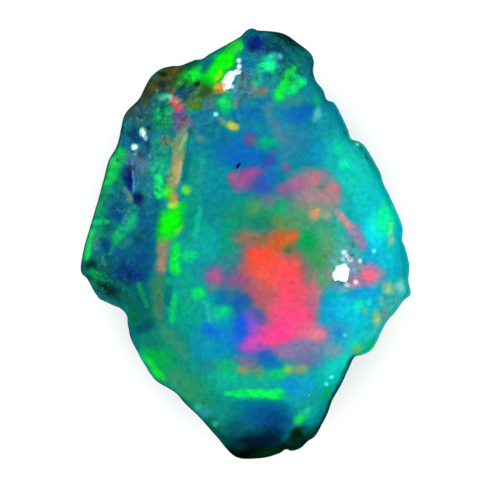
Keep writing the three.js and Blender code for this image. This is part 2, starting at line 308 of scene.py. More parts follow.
# Small flat chips that face a lamp. Each is a few eggs run together, read in the picture's own pixels:
# x, y, half length, half width, turn.
GLINT_LAMPS = {"right": (305, 24), "left": (129, 23)}   # the heading and slope of a face that shines
GLINTS = {
    "bigShine": ("right", [(341.5, 273.6, 12.2, 12.6, 20)]),
    "topShine": ("left", [
        (234.5, 70.8, 9.2, 5.4, 0), (228.8, 76.6, 8.2, 7.2, 45),
        (222.6, 81, 4.6, 3.6, 0), (228, 85, 4.6, 6, 0),
    ]),
    "templeShine": ("left", [(142.5, 132.3, 4.4, 6, 0), (145.6, 137.5, 2.6, 3.6, 20)]),
    "templeShineB": ("left", [(134.7, 147, 4.6, 4.8, 0)]),
}
GLINT_EDGE = 0.22         # how softly a chip runs out, in its own half widths
GLINT_RAG = (0.35, 0.45)  # how ragged its edge is, and the size of the rags in mm
GLINT_REACH = 2.5         # in half widths, well past its most ragged edge


def seen_at(px, py, z):
    """The point on the stone, in mm, that is seen at a pixel, at a height."""
    x, y = (px - PICTURE_MIDDLE[0]) * PICTURE_SCALE, (PICTURE_MIDDLE[1] - py) * PICTURE_SCALE
    near = 1 - (z - AIM[2]) / CAMERA_DISTANCE
    return AIM[0] + (x - AIM[0]) * near, AIM[1] + (y - AIM[1]) * near


def face_lamps(points):
    """The points with the glints' own laid on small planes, and how much each is on one."""
    polish = np.zeros(len(points))
    for lamp_name, eggs in GLINTS.values():
        heading, slope = (math.radians(v) for v in GLINT_LAMPS[lamp_name])
        share = np.zeros(len(points))
        for px, py, long, wide, turn in eggs:
            x, y = seen_at(px, py, CROWN_HEIGHT - 1)
            dx, dy = points[:, 0] - x, points[:, 1] - y
            c, s = math.cos(math.radians(turn)), math.sin(math.radians(turn))
            far = np.hypot((dx * c + dy * s) / long, (dy * c - dx * s) / wide) / PICTURE_SCALE
            near = far < GLINT_REACH
            far = far[near] + GLINT_RAG[0] * grain(points[near], GLINT_RAG[1], 2, x)
            w = np.clip((1 + GLINT_EDGE - far) / (2 * GLINT_EDGE), 0, 1)
            share[near] = np.maximum(share[near], w * w * (3 - 2 * w))
        chip = share > 0
        place, w = points[chip], share[chip]
        level = np.average(place, axis=0, weights=w)
        out = (place[:, 0] - level[0]) * math.cos(heading) + (place[:, 1] - level[1]) * math.sin(heading)
        points[chip, 2] += (level[2] - math.tan(slope) * out - place[:, 2]) * w
        polish = np.maximum(polish, share)
    return points, polish


def roughen(points):
    ray = points - HEART
    ray /= np.linalg.norm(ray, axis=1)[:, None]
    lift = sum(height * grain(points, size, 2, BUMP_SHIFT * size) for size, height in SURFACE_BUMPS)
    return points + ray * lift[:, None]


def stone_mesh():
    """The stone as one closed mesh, and the crown's points in mm.

    Each point carries its distance in from the outline as seen from above, how much it lies on a
    glint, and how far it is below the girdle."""
    rays = outline_rays()
    top_cells = OUTLINE_STEPS // 4
    low_cells = top_cells // 2
    top_points = side_grid(top_cells, rays, True)
    low_points = side_grid(low_cells, rays, False)
    top_at = np.arange((top_cells + 1) ** 2).reshape(top_cells + 1, -1)
    # The lower grid is half as fine, and takes its border from the upper grid.
    inside = np.zeros((low_cells + 1, low_cells + 1), bool)
    inside[1:-1, 1:-1] = True
    low_at = top_at[::2, ::2].copy()
    low_at[inside] = top_at.size + np.arange(inside.sum())
    points = np.vstack([top_points, low_points[inside.ravel()]])
    points = roughen(cut_faces(points))
    polish = np.zeros(len(points))
    points[:top_at.size], polish[:top_at.size] = face_lamps(points[:top_at.size])
    turn = np.arctan2(points[:, 1], points[:, 0])
    from_edge = np.interp(turn, rays[0], rays[1], period=2 * math.pi) - np.hypot(points[:, 0], points[:, 1])

    squares = [top_at[:-1, :-1], top_at[1:, :-1], top_at[1:, 1:], top_at[:-1, 1:]]
    faces = np.stack(squares, axis=-1).reshape(-1, 4).tolist()
    for i in range(low_cells):
        for j in range(low_cells):
            corners = [(i, j), (i, j + 1), (i + 1, j + 1), (i + 1, j)]
            loop = []
            for (i0, j0), (i1, j1) in zip(corners, corners[1:] + corners[:1]):
                loop.append(low_at[i0, j0])
                if (i0 == i1 and i0 in (0, low_cells)) or (j0 == j1 and j0 in (0, low_cells)):
                    loop.append(top_at[i0 + i1, j0 + j1])
            if len(loop) == 4:
                faces.append(loop)
            else:
                inner = next(k for k, v in enumerate(loop) if v >= top_at.size)
                loop = loop[inner:] + loop[:inner]
                faces += [[loop[0], loop[k], loop[k + 1]] for k in range(1, len(loop) - 1)]

    points[:, 2] *= THICKNESS / points[:, 2].max()
    low, high = np.array(opal_low) / MM, np.array(opal_high) / MM
    points = np.clip(points, low, high)
    below = np.clip(girdle(turn) - points[:, 2], 0, None)
    below[:top_at.size] = 0
    mesh = bpy.data.meshes.new("rough_opal")
    mesh.from_pydata((points * MM).tolist(), [], faces)
    for name, values in (("from_edge", from_edge), ("polish", polish), ("below_waist", below)):
        mesh.attributes.new(name, "FLOAT", "POINT").data.foreach_set("value", values)
    mesh.shade_smooth()
    return mesh, points[:top_at.size]


mesh, crown_points = stone_mesh()
stone = bpy.data.objects.new("rough_opal", mesh)
bpy.context.scene.collection.objects.link(stone)
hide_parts("opal")
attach(stone, "root")

# ---- the colours
EXPOSURE = 1 / 1.58     # the floor is lit well past white, so the colours are brought down
BLEND_POWER = 2.2       # colours are blended as the eye sees them, then raised to this power
SRGB_STRAIGHT = 10.3    # sRGB is a straight line up to this channel value

# The stone's inside: slow zones of colour, then cells. Sizes are in mm.
BODY_SIZE = 6.5
BODY_STOPS = [
    (0.3, (0, 66, 112)), (0.42, (0, 98, 132)), (0.52, (0, 128, 134)),
    (0.6, (0, 132, 104)), (0.7, (8, 118, 150)),
]
GREEN, SPRING, CYAN, BLUE = (20, 225, 60), (0, 215, 130), (0, 190, 210), (0, 100, 210)
ORANGE, PINK, VIOLET = (235, 100, 60), (235, 75, 130), (95, 75, 190)
LARGE_CELLS = [SPRING, BLUE, CYAN, VIOLET, GREEN, PINK, CYAN, ORANGE]
SMALL_CELLS = [GREEN, SPRING, ORANGE, GREEN, CYAN, PINK]
CELL_EDGE = (0.25, 0.62)        # where a cell's colour starts to fade and is gone
PRESENCE_BLUR = 0.08

CROWN_COLOUR = (0, 146, 148)
CROWN_FADE = (0.1, 2.0, 2.5)    # mm below the waist where the crown's colours fade and end, and how raggedly
# The dark rim along the outline is painted shade.
RIM_SHADE_COLOUR = (0, 66, 64)
RIM = (0.2, 0.45)               # how wide the dark rim is, in mm, and how strong
RIM_FADE = (3.0, 5.5, 0.1)      # where along x it fades and is faint, and how strong it is there
# The glow of the thin edge is painted light.
EDGE_GLOW = (0.32, 0.45)        # how wide and strong the glow of the thin edge is
EDGE_GLOW_FADE = (4.0, 7.0)     # where along x it starts and is full
# Specks of rough skin: colour, size in mm, detail, where the noise starts and is full, strength.
SPECKS = [
    ((0, 62, 44), 1.0, 2, 0.5, 0.3, 0.38),
    ((0, 40, 62), 0.5, 3, 0.5, 0.3, 0.42),
    ((104, 192, 188), 0.42, 3, 0.52, 0.72, 0.62),
]
STAIN = (0.6, 1.3)              # the size in mm and the strength of the stains of rough skin
MOTTLE_SIZE = 0.4
MOTTLE_DEPTH, MOTTLE_BASE = 0.5, 0.75
SKIN_SIZE = 0.3
SKIN_RANGE = (0.35, 0.7)        # where the skin's noise is at its glossiest and dullest
SKIN_ROUGHNESS = (0.1, 0.18)
DULL_ROUGHNESS = 0.4            # how much duller the dullest skin is
POLISHED = 0.6                  # how far onto a glint the dullness reaches
BUMP_STRENGTH = 0.12
BUMP_HEIGHT = 0.00002           # m
STONE_IOR = 1.45
STONE_SPECULAR = 0.3
RAG_SIZE = 1.1                  # mm, of the noise that makes the patches ragged
RAG_STRENGTH = 4
PATCH_DEPTH = (1.6, 2.5)        # how deep a patch reaches: its length and this many mm, times this

# Eggs are x, y, half length, half width, a turn if any, and colour; strokes run from x, y to x, y and
# have a half width and a colour. A last value is the strength, where it isn't 1. Places and sizes are
# in the picture's own pixels, turns in degrees.
ZONES = dict(
    upperBlue=(270, 130, 58, 42, (4, 132, 168)),
    upperLeftTeal=(212, 132, 22, 46, (4, 120, 146)),
    upperDeepBlue=(240, 154, 26, 15, (0, 106, 182)),
    upperDeepBlueB=(256, 160, 14, 12, (0, 104, 186), 0.9),
    upperGreyBlue=(290, 138, 17, 22, -20, (40, 132, 162), 0.9),
    upperRightBlue=(303, 113, 15, 10, (0, 100, 184), 0.9),
    neckHaze=(292, 100, 22, 7, 10, (44, 142, 142), 0.9),
    blueUnderGrey=(252, 108, 14, 11, (0, 106, 180), 0.9),
    topLobe=(276, 50, 46, 22, (4, 100, 116)),
    lobeRight=(302, 64, 14, 24, 25, (4, 114, 114)),
    lobeInside=(248, 64, 12, 22, (8, 124, 154)),
    lobeHaze=(266, 82, 18, 9, (16, 142, 154), 0.9),
    neckTeal=(312, 87, 12, 16, 20, (6, 146, 156)),
    rightShoulder=(330, 122, 15, 20, -20, (4, 144, 168)),
    rightBlueEdge=(322, 154, 11, 14, (0, 144, 188), 0.9),
    rightTurquoise=(358, 180, 44, 24, -66, (4, 206, 188)),
    rightBlueGap=(339, 203, 6, 20, 12, (0, 168, 206), 0.9),
    rightCyan=(382, 242, 26, 50, (0, 198, 220)),
    rightCyanLow=(352, 316, 42, 36, (0, 194, 220)),
    rightBevel=(389, 310, 36, 11, 58, (58, 184, 176)),
    lowerRight=(338, 366, 36, 17, 54, (4, 216, 198)),
    lowerMiddle=(252, 378, 58, 17, (2, 174, 150)),
    lowerBlue=(300, 388, 18, 14, 20, (0, 164, 202)),
    lowerBlueDeep=(292, 386, 10, 7, (0, 140, 206), 0.8),
    underStreak=(248, 404, 30, 7, (0, 140, 154)),
    rightOfStreak=(310, 404, 18, 10, 50, (8, 164, 158)),
    leftMain=(198, 250, 26, 80, (2, 160, 148)),
    leftMainTop=(196, 186, 10, 22, (8, 150, 134), 0.9),
    leftMainGreen=(188, 220, 10, 22, (0, 146, 122), 0.8),
    leftMainBlue=(216, 200, 14, 26, (0, 136, 156), 0.9),
    leftMainLight=(204, 246, 14, 18, (0, 168, 160), 0.9),
    leftMainGreenB=(228, 236, 9, 17, (0, 160, 124), 0.9),
    leftMainBlueB=(208, 268, 14, 10, (26, 140, 156), 0.8),
    leftMainLow=(194, 318, 34, 32, (0, 158, 148)),
    leftMainLowGreen=(184, 302, 9, 20, (0, 172, 130), 0.9),
    innerBlue=(227, 334, 25, 18, (0, 132, 202)),
    innerBlueLow=(208, 350, 16, 12, (0, 150, 176), 0.9),
    innerBlueTop=(228, 299, 16, 10, (0, 112, 174), 0.9),
    leftFacet=(126, 190, 33, 72, -8, (2, 108, 124)),
    leftFacetBlue=(150, 232, 10, 36, (0, 92, 130), 0.9),
    leftFacetLight=(143, 182, 9, 26, (30, 122, 140), 0.8),
    leftFacetGreen=(108, 228, 13, 20, 10, (0, 120, 104), 0.9),
    leftFacetLow=(126, 260, 32, 28, (0, 90, 124)),
    upperLeftDark=(172, 84, 30, 15, 22, (28, 78, 62)),
    upperLeftInside=(142, 114, 20, 16, 30, (34, 94, 98)),
    underRed=(190, 92, 14, 8, 10, (10, 88, 92), 0.9),
    templeBlue=(140, 146, 16, 18, (8, 98, 140)),
    leftOfSeam=(160, 156, 9, 32, (18, 152, 118), 0.9),
    leftCorner=(92, 266, 16, 13, (6, 94, 84)),
    leftNotch=(118, 292, 30, 15, -24, (0, 96, 84)),
    notchTeal=(144, 316, 14, 26, (0, 100, 100)),
    lowLeftEdge=(132, 338, 12, 6, -60, (0, 90, 84), 0.9),
    lowSeamOlive=(158, 304, 8, 36, 4, (34, 126, 96), 0.9),
    ridgeFoot=(176, 340, 16, 9, -52, (34, 142, 116), 0.9),
    # lowerLeftBevel and bevelPale: the bevel's green, made pale grey-green by a painted soft reflection.
    lowerLeftBevel=(194, 396, 66, 19, -51, (22, 146, 108)),
    bevelPale=(182, 384, 22, 10, -46, (44, 150, 106), 0.9),
    lowerLeftGreen=(154, 355, 19, 13.5, -35, (0, 172, 74)),
    footTeal=(226, 414, 14, 12, -30, (4, 142, 132)),
    footBlue=(264, 415, 22, 12.5, (0, 92, 150)),
    footRightBlue=(276, 427, 14, 14, (0, 68, 128)),
    footLeftTeal=(215, 432, 13, 10, -45, (0, 100, 80)),
    # footDark, footBlack and footDarkRight: painted shade in the hollow foot and along its bottom rim.
    footDark=(258, 441, 34, 11, (0, 26, 48)),
    footBlack=(246, 455, 42, 8, (0, 8, 6)),
    footLeftShade=(236, 427, 11, 9, (0, 86, 102), 0.85),
    footDarkRight=(298, 438, 13, 10, 40, (4, 42, 24)),
    middleGreen=(320, 240, 24, 36, (70, 166, 116), 0.9),
    greenAbove=(262, 214, 42, 14, (20, 144, 108)),
    greyGreenAbove=(298, 210, 30, 12, (84, 152, 118), 0.9),
    rightOfGreen=(338, 236, 9, 22, (44, 180, 162), 0.8),
    coreHaze=(276, 272, 36, 38, (150, 110, 96), 0.9),
    leftPurpleHaze=(234, 276, 16, 16, (84, 108, 144), 0.8),
    # Painted sheen: the greyish halo round the big glint.
    greyHalo=(346, 264, 17, 19, (110, 176, 180), 0.9),
)

GLOWS = dict(
    violetBlue=(260, 183, 17, 12, (50, 86, 178)),
    blueInViolet=(274, 174, 8, 10, (10, 116, 176), 0.9),
    magentaPatch=(243, 181, 11, 9, 10, (152, 82, 156)),
    magentaTop=(251, 172, 11, 6, 15, (156, 80, 148), 0.9),
    pinkEdge=(233, 178, 5, 5, (160, 96, 130), 0.8),
    magentaFoot=(238, 188, 6, 5, (130, 100, 150), 0.7),
    violetA=(269, 162, 6, 6, (80, 62, 168), 0.85),
    violetB=(271, 151, 5, 5, (70, 84, 168), 0.8),
    pinkDotTop=(286, 167, 4.5, 4.5, (146, 78, 144), 0.9),
    purpleA=(252, 140, 8, 7, (98, 80, 154)),
    greenB=(267, 142, 11, 8, (0, 168, 132)),
    salmonA=(311, 178, 16, 9.5, 8, (190, 120, 136)),
    salmonB=(298, 184, 9, 9, (170, 102, 146)),
    salmonC=(333, 189, 7, 9, (204, 118, 138)),
    salmonLow=(320, 198, 20, 11, (176, 130, 138)),
    pinkGrey=(285, 190, 9, 7, (150, 92, 144), 0.9),
    mauveLow=(268, 199, 9, 6, (118, 120, 138), 0.8),
    greyPinkLow=(322, 207, 12, 7, (130, 150, 130), 0.7),
    oliveUpper=(253, 204, 8, 9, (88, 152, 94), 0.7),
    greenDotUpper=(279, 209, 6, 6, (0, 180, 112), 0.65),
    darkGreenUpper=(262, 220, 10, 8, (0, 128, 92), 0.5),
    oliveAboveOrange=(281, 222, 9, 8, (112, 144, 66), 0.65),
    greyGreenMid=(300, 226, 10, 8, (84, 150, 110), 0.8),
    greenCentre=(308, 242, 9, 13, 20, (0, 168, 84), 0.9),
    greenCentreLow=(318, 262, 8, 13, 20, (54, 160, 84), 0.9),
    oliveCentre=(328, 246, 7, 13, (96, 160, 106), 0.7),
    tanRightLow=(316, 288, 8, 15, (156, 138, 130), 0.85),
    mauveRightLow=(317, 305, 5.5, 8, (144, 134, 160), 0.85),
    greenDotLow=(322, 281, 5, 6, (60, 170, 100), 0.9),
    brownArc=(250, 238, 16, 8, (146, 110, 84)),
    orangeLobe=(281, 239, 11, 9.5, (214, 94, 36)),
    orangeLobeB=(292, 235, 6, 7, (206, 106, 50)),
    redHaze=(250, 268, 9, 21, (168, 90, 96), 0.9),
    core=(272, 273, 22.5, 23, (250, 88, 70)),
    coreHot=(262, 257, 14, 9.5, -8, (255, 76, 54)),
    coreRight=(290, 276, 13, 17, (252, 80, 82)),
    coreLow=(291, 298, 20, 21, (254, 74, 108)),
    brickSpot=(262, 299, 16, 14, -40, (188, 92, 104)),
    purpleBySpot=(246, 299, 5, 9, -30, (110, 92, 146), 0.6),
    pinkLow=(292, 320, 23, 16, (255, 74, 128)),
    pinkLeft=(274, 335.5, 27, 12.5, 9, (255, 62, 140)),
    pinkLowLeft=(262, 329, 10, 6, -30, (232, 68, 160), 0.8),
    pinkJoin=(304, 331, 12, 9, (244, 88, 136), 0.9),
    magentaLow=(251, 344.5, 11, 9.5, -20, (224, 74, 190)),
    purpleLow=(250, 322, 9, 12, (136, 80, 208)),
    violetGap=(258, 315.5, 9, 6, -30, (84, 84, 164), 0.9),
    salmonTail=(325, 333.5, 20, 9, (226, 112, 152)),
    salmonTailCore=(318, 334, 8, 4.5, (246, 132, 146), 0.8),
    pinkUnderTail=(306, 343, 19, 4, (178, 112, 158), 0.7),
    innerBlueB=(240, 328, 6, 16, (20, 92, 220)),
    innerBlueC=(212, 328, 9.5, 7.5, (0, 114, 212), 0.9),
    deepBySpot=(242, 303, 9, 9, (14, 96, 168), 0.9),
    pinkSpot=(215, 277.5, 9, 8.5, (174, 86, 144)),
    pinkSpotLow=(211, 289, 5, 6, (90, 128, 150), 0.8),
    pinkSpotB=(238, 281, 13, 7, (150, 84, 138), 0.9),
    greyViolet=(296, 351, 28, 8, 4, (132, 122, 166)),
    greyVioletB=(306, 359, 17, 7, (112, 116, 166), 0.9),
    mauveUnder=(268, 350, 14, 4.5, (172, 100, 168), 0.8),
    mauveRight=(333, 351, 12, 7, (128, 150, 176), 0.8),
    blueLower=(258, 356, 15, 8, -10, (20, 96, 192)),
    blueLowerB=(272, 364, 8, 6, (0, 116, 190), 0.9),
    magentaFootLow=(252, 349, 10, 5, (184, 80, 184), 0.85),
    mauveLower=(246, 361, 12, 6, (112, 112, 156), 0.95),
    mauveLowerB=(253, 367.5, 9, 4.5, (142, 112, 138), 0.85),
    coreGap=(262, 241, 7, 4.5, (150, 98, 60), 0.9),
    darkByOrange=(289, 249, 6, 3.4, (66, 112, 60), 0.85),
    orangeFootCore=(277, 247, 7, 4, (190, 100, 32), 0.8),
    greenLeftLow=(226, 369, 11, 8, (10, 184, 118), 0.9),
    greyBlueLow=(208, 368, 12, 7, (24, 144, 140), 0.8),
    cyanRight=(375, 228, 9, 13, (0, 236, 246)),
    springRight=(384, 219, 9, 15, -10, (0, 250, 166)),
    mintRight=(338, 146, 5, 7, (0, 214, 160), 0.9),
    mintRightB=(343, 163, 5, 6, (0, 240, 186), 0.9),
    blueRightA=(371, 256, 9, 8, (0, 176, 222), 0.8),
    blueRightB=(362, 291, 13, 7, (0, 164, 230)),
    mintLowRight=(361, 304, 6, 5, (0, 236, 192), 0.9),
    blueLowLeft=(327, 312, 8, 15, (0, 162, 208), 0.9),
    blueLowMid=(338, 334, 10, 9, (0, 162, 214), 0.8),
    pinkRight=(369.5, 275.5, 13, 10, 15, (244, 112, 146)),
    pinkTail=(354, 283, 10, 5, 10, (180, 130, 166)),
    # haloMauve, haloGrey and haloUnder: painted sheen round the big glint.
    haloMauve=(354, 268, 8, 9, (140, 146, 172), 0.8),
    haloGrey=(329, 276, 7, 9, (130, 150, 138), 0.8),
    haloUnder=(340, 288, 12, 5, (104, 162, 182), 0.85),
    mauveSpot=(181, 123, 11, 10, (114, 100, 124)),
    navyD=(128, 274, 13, 8, -10, (0, 48, 122)),
    navyE=(142, 258, 7, 14, (0, 72, 128), 0.8),
    navyLow=(144, 327, 9, 5, 20, (0, 66, 92), 0.6),
    darkGreenLow=(132, 316, 6, 9, (0, 108, 68), 0.9),
    tealLowLeft=(150, 341, 14, 6, -10, (6, 124, 112), 0.9),
    tealFleck=(214, 312, 13, 8, -60, (0, 184, 164), 0.8),
)

BANDS = dict(
    # greyBandTop and greyBandLow: a painted soft reflection, a grey band over the blue.
    greyBandTop=(267, 110, 281, 140, 5.5, (80, 130, 152), 0.75),
    greyBandLow=(284, 144, 285, 162, 5, (40, 134, 160), 0.6),
    bandHaze=(355, 226, 365, 243, 4, (150, 140, 172), 0.85),
    salmonBand=(342, 217, 351.5, 230, 4, (222, 146, 152)),
    salmonBandTop=(336.5, 212, 343, 220, 3, (164, 150, 156), 0.75),
    mauveBand=(352, 233, 361, 245, 5.5, (138, 138, 174)),
    rimGreenLeft=(118, 154, 104, 186, 7, (0, 204, 84)),
    rimTealLeft=(104, 192, 92, 236, 7, (10, 150, 106), 0.9),
    rimLineLeft=(91, 232, 85, 256, 4, (8, 220, 96)),
    greenFacet=(133, 220, 114, 243, 6.5, (0, 172, 108), 0.9),
    seamTan=(179, 153, 173, 184, 6, (168, 162, 98)),
    seamTanTop=(166, 140, 176, 141, 6, (118, 140, 104), 0.8),
    seamTop=(181, 134, 178, 152, 6, (126, 148, 106)),
    seamMid=(171, 190, 173, 204, 5, (150, 150, 90), 0.9),
    seamGreyTan=(163, 242, 160, 268, 6, (140, 132, 112)),
    seamLow=(158, 278, 159, 316, 5.6, (62, 130, 98), 0.9),
    seamShade=(188, 154, 185, 180, 3.5, (0, 106, 112), 0.75),
    seamShadeLow=(168, 277, 168, 303, 3.5, (0, 116, 106), 0.75),
    seamRidge=(164, 330, 186, 356, 5, (60, 140, 116), 0.6),
    greenTailA=(175, 250, 175, 268, 5.8, (0, 236, 70)),
    # bevelRim, bevelRimRight and footRimRight: painted shade along the lower rims.
    bevelRim=(172, 398, 219, 441, 3.5, (0, 104, 76), 0.8),
    bevelRimRight=(354, 360, 322, 428, 4.5, (0, 54, 44), 0.9),
    footRimRight=(318, 430, 306, 446, 6, (0, 60, 52), 0.8),
    greenStreak=(240, 394, 280, 395, 4.4, (0, 240, 100)),
    footArc=(284, 440, 295, 424, 2.6, (0, 104, 130), 0.6),
    rimBrown=(144, 94, 180, 68, 8, (74, 68, 28)),
    templeRim=(126, 112, 144, 100, 5, (64, 80, 66), 0.8),
)

FLASHES = dict(
    bigGreenA=(225, 62, 15, 9.5, 54, (0, 255, 0)),
    bigGreenB=(212, 78, 12.5, 9.5, 40, (0, 255, 0)),
    bigGreenCore=(222, 64, 12, 6, 54, (0, 255, 0)),
    greenTip=(236, 46, 7, 6, 40, (34, 232, 50)),
    greenLeft=(191, 76, 11, 7, 30, (0, 250, 40)),
    greenBridge=(203, 81, 9, 5, (0, 200, 40)),
    tealGap=(207, 65, 8, 3.5, 55, (0, 96, 100), 0.7),
    greenRimTop=(190, 65, 9, 4, 20, (0, 88, 42), 0.9),
    yellowEdge=(218, 76, 8, 3, 60, (160, 236, 20)),
    oliveA=(205, 91, 11, 8, (60, 108, 26)),
    oliveB=(194, 104, 8, 6, (78, 112, 0)),
    oliveC=(181, 84, 8, 6, 20, (40, 118, 46), 0.9),
    orangeFoot=(220, 88, 6, 5, (240, 166, 66)),
    greyByOlive=(210, 103, 7, 6, (84, 116, 118), 0.8),
    greyRightShine=(243, 78, 4, 7, (104, 118, 120), 0.7),
    greyLowShine=(250, 91, 9, 6, (74, 124, 132), 0.8),
    tanGrey=(260, 91, 8, 6, (120, 130, 120), 0.9),
    tanYellow=(265, 91, 3, 3, (150, 162, 100), 0.9),
    greenDotA=(225, 104, 9, 8, 50, (0, 230, 96)),
    tanA=(236, 103, 4, 5, (110, 150, 116), 0.8),
    yellowDot=(232, 126, 6, 4, -20, (216, 214, 70)),
    yellowRim=(222, 121, 6, 3, -50, (120, 156, 116), 0.8),
    springTop=(268, 65, 9, 7, 10, (0, 250, 148)),
    mintTop=(258, 78, 4, 8, -20, (24, 196, 156), 0.9),
    paleFleckA=(273, 55, 3, 4, (60, 200, 186), 0.9),
    paleFleckB=(280, 57, 2.5, 4, (80, 198, 186), 0.9),
    loopHole=(291, 83, 3, 3, (0, 140, 90)),
    # paleChip: a painted highlight, pale crescents on a chip.
    paleChip=(317, 114, 4, 7.5, -15, (84, 186, 188)),
    greenNeck=(317, 101, 5, 4, (0, 176, 130), 0.9),
    tealDotTop=(253, 104, 5, 4, (0, 152, 150), 0.8),
    navyTop=(256, 43, 9, 9, (0, 38, 112)),
    darkTop=(274, 46, 9, 6, (0, 56, 82), 0.9),
    blackGreenTop=(287, 40, 13, 5, -25, (0, 50, 42)),
    whiteTeal=(164, 97, 6, 4, (56, 200, 172), 0.9),
    paleByRed=(170, 97, 3, 3, (150, 200, 184), 0.9),
    brownByRed=(172, 90, 4, 4, (104, 102, 66), 0.9),
    redSpot=(178, 106.5, 6, 6, (202, 56, 84)),
    orangeTopRed=(175.5, 101, 5, 4.5, (214, 116, 100), 0.9),
    purpleSpot=(178, 115, 6, 5, (98, 72, 132), 0.9),
    pinkGreySpot=(186, 121, 5, 5, (140, 94, 122), 0.8),
    blueByRed=(181, 92, 5, 5, (0, 80, 118), 0.9),
    greenNeckLeft=(163, 116, 9, 10, (0, 162, 92)),
    greenNeckHole=(163, 118, 3, 3, (14, 118, 88), 0.9),
    darkSpotA=(197, 84, 3.5, 2.5, (0, 34, 20)),
    darkSpotB=(163, 74, 4, 2.5, (20, 28, 10), 0.9),
    darkSpotC=(162, 84, 4, 3, (8, 40, 36), 0.9),
    orangeDot=(315, 213, 6, 6.5, (204, 156, 108)),
    greyTanSpot=(326, 217, 6, 5, (152, 172, 138)),
    darkInSalmon=(322.5, 187, 4, 1.6, (110, 122, 96), 0.85),
    navyA=(130, 177, 6, 11, (0, 22, 104)),
    navyTempleA=(134, 133, 4.5, 5.5, (0, 52, 100), 0.9),
    navyTempleB=(138, 141, 4, 3, 20, (0, 76, 130), 0.6),
    darkTemple=(147.5, 129, 3, 2.5, -40, (0, 34, 44), 0.9),
    greyTemple=(151, 135, 4, 7, (24, 112, 124), 0.7),
    navyB=(138, 198, 6, 6, (0, 28, 100)),
    navyC=(107, 244, 6, 6, (0, 66, 126), 0.9),
    blueFacetA=(117, 213, 9, 9, (0, 76, 130), 0.9),
    greyLeftRim=(96, 243, 5, 8, (50, 132, 124), 0.8),
    paleRimDot=(112, 161, 4, 4, (70, 216, 130), 0.9),
    darkCorner=(91, 265, 5, 4.5, (0, 38, 56), 0.85),
    greenCorner=(97, 276, 8, 4.5, -40, (0, 156, 66)),
    darkNotch=(108, 289, 10, 5, -30, (0, 44, 40)),
    mintSeam=(157, 168, 9, 7, (12, 196, 144), 0.9),
    greenSeam=(168, 193, 5, 7, (70, 226, 34)),
    oblong=(170.5, 222.5, 17, 10, 60, (0, 255, 0)),
    oblongTop=(172, 205, 5, 3.5, (182, 232, 64)),
    orangeTopOblong=(174, 198, 3, 5, (212, 140, 80), 0.9),
    yellowRightOblong=(178, 231, 9, 2.6, 58, (150, 232, 50), 0.5),
    greenByOblong=(186, 190, 4.5, 4.5, (96, 222, 70)),
    seamOrangeCore=(163, 261, 3.6, 7, 15, (180, 138, 92), 0.35),
    greenTailB=(188, 255, 9, 5, (0, 218, 116), 0.9),
    greenTailC=(169, 281, 5, 4, (0, 182, 120), 0.8),
    fleckA=(199, 294, 6.5, 5.5, 10, (0, 222, 104)),
    fleckB=(224, 311, 7, 6, (0, 204, 134), 0.9),
    rimGreenLowA=(150, 363, 9, 3.4, -52, (10, 218, 60)),
    rimGreenLowB=(158, 373, 9, 3.8, -46, (14, 218, 48)),
    brownLower=(243, 370, 7, 4.5, (160, 140, 100), 0.8),
    tanGreenLower=(257, 373, 8, 4.5, (100, 166, 96), 0.8),
    greenLowerA=(278, 373, 7, 5, (0, 206, 104), 0.9),
    yellowLower=(288, 370, 5, 5, (140, 204, 84), 0.9),
    tanLower=(299, 370, 9, 5, (136, 158, 116), 0.8),
    streakHotA=(251, 393.5, 13, 3, (0, 255, 88), 0.9),
    streakHotB=(274, 396, 8, 3.5, (0, 255, 84), 0.9),
    greenRightLow=(301, 418, 8, 4.5, 45, (20, 226, 96)),
    mintRightLow=(307, 411, 5, 2.6, 50, (30, 220, 160), 0.8),
    greenBevelRight=(326, 392, 8, 3, 65, (0, 190, 100), 0.9),
    # darkFoot, navyFoot, footRimDark and footRimGreen: painted shade in the foot and along its bottom rim.
    darkFoot=(297, 434, 5.5, 5, 30, (6, 36, 8)),
    navyFoot=(299, 441, 5, 3, (0, 42, 74), 0.9),
    footRimDark=(276, 451, 24, 5, 17, (2, 30, 8)),
    footRimGreen=(270, 452, 16, 3.5, 10, (0, 42, 12), 0.9),
    yellowRight=(390, 229, 3.5, 8, -8, (110, 252, 122), 0.7),
    tanRight=(391, 241, 3, 5, (156, 190, 150), 0.9),
    mintUnderTan=(389, 251, 4, 5, (0, 210, 176), 0.8),
    # paleA, paleB and paleC: painted soft reflection on the right rim.
    paleA=(388, 288, 6, 6, (164, 202, 152), 0.9),
    paleB=(400, 287, 5, 7, (116, 212, 204), 0.9),
    paleC=(382, 300, 4, 5, (110, 190, 176), 0.9),
    yellowBevel=(376.5, 318, 3.6, 8, 8, (160, 206, 136), 0.9),
    mauveBevel=(384, 314, 4, 5, (110, 160, 160), 0.8),
    dotRightLow=(366, 311, 3, 3, (110, 188, 160), 0.9),
    oliveRimLow=(358, 350, 5, 5, (118, 182, 92), 0.8),
    greenRimLow=(369, 345, 7, 5, 30, (10, 192, 116), 0.9),
    chipA=(198, 408, 4, 4, (40, 200, 176), 0.9),
    chipB=(205, 412, 5, 4.5, (36, 160, 180), 0.9),
    chipC=(215, 424, 3.5, 3, (60, 182, 148), 0.9),
    tanLeftTop=(200, 139, 6, 3.5, -45, (110, 132, 140), 0.7),
)

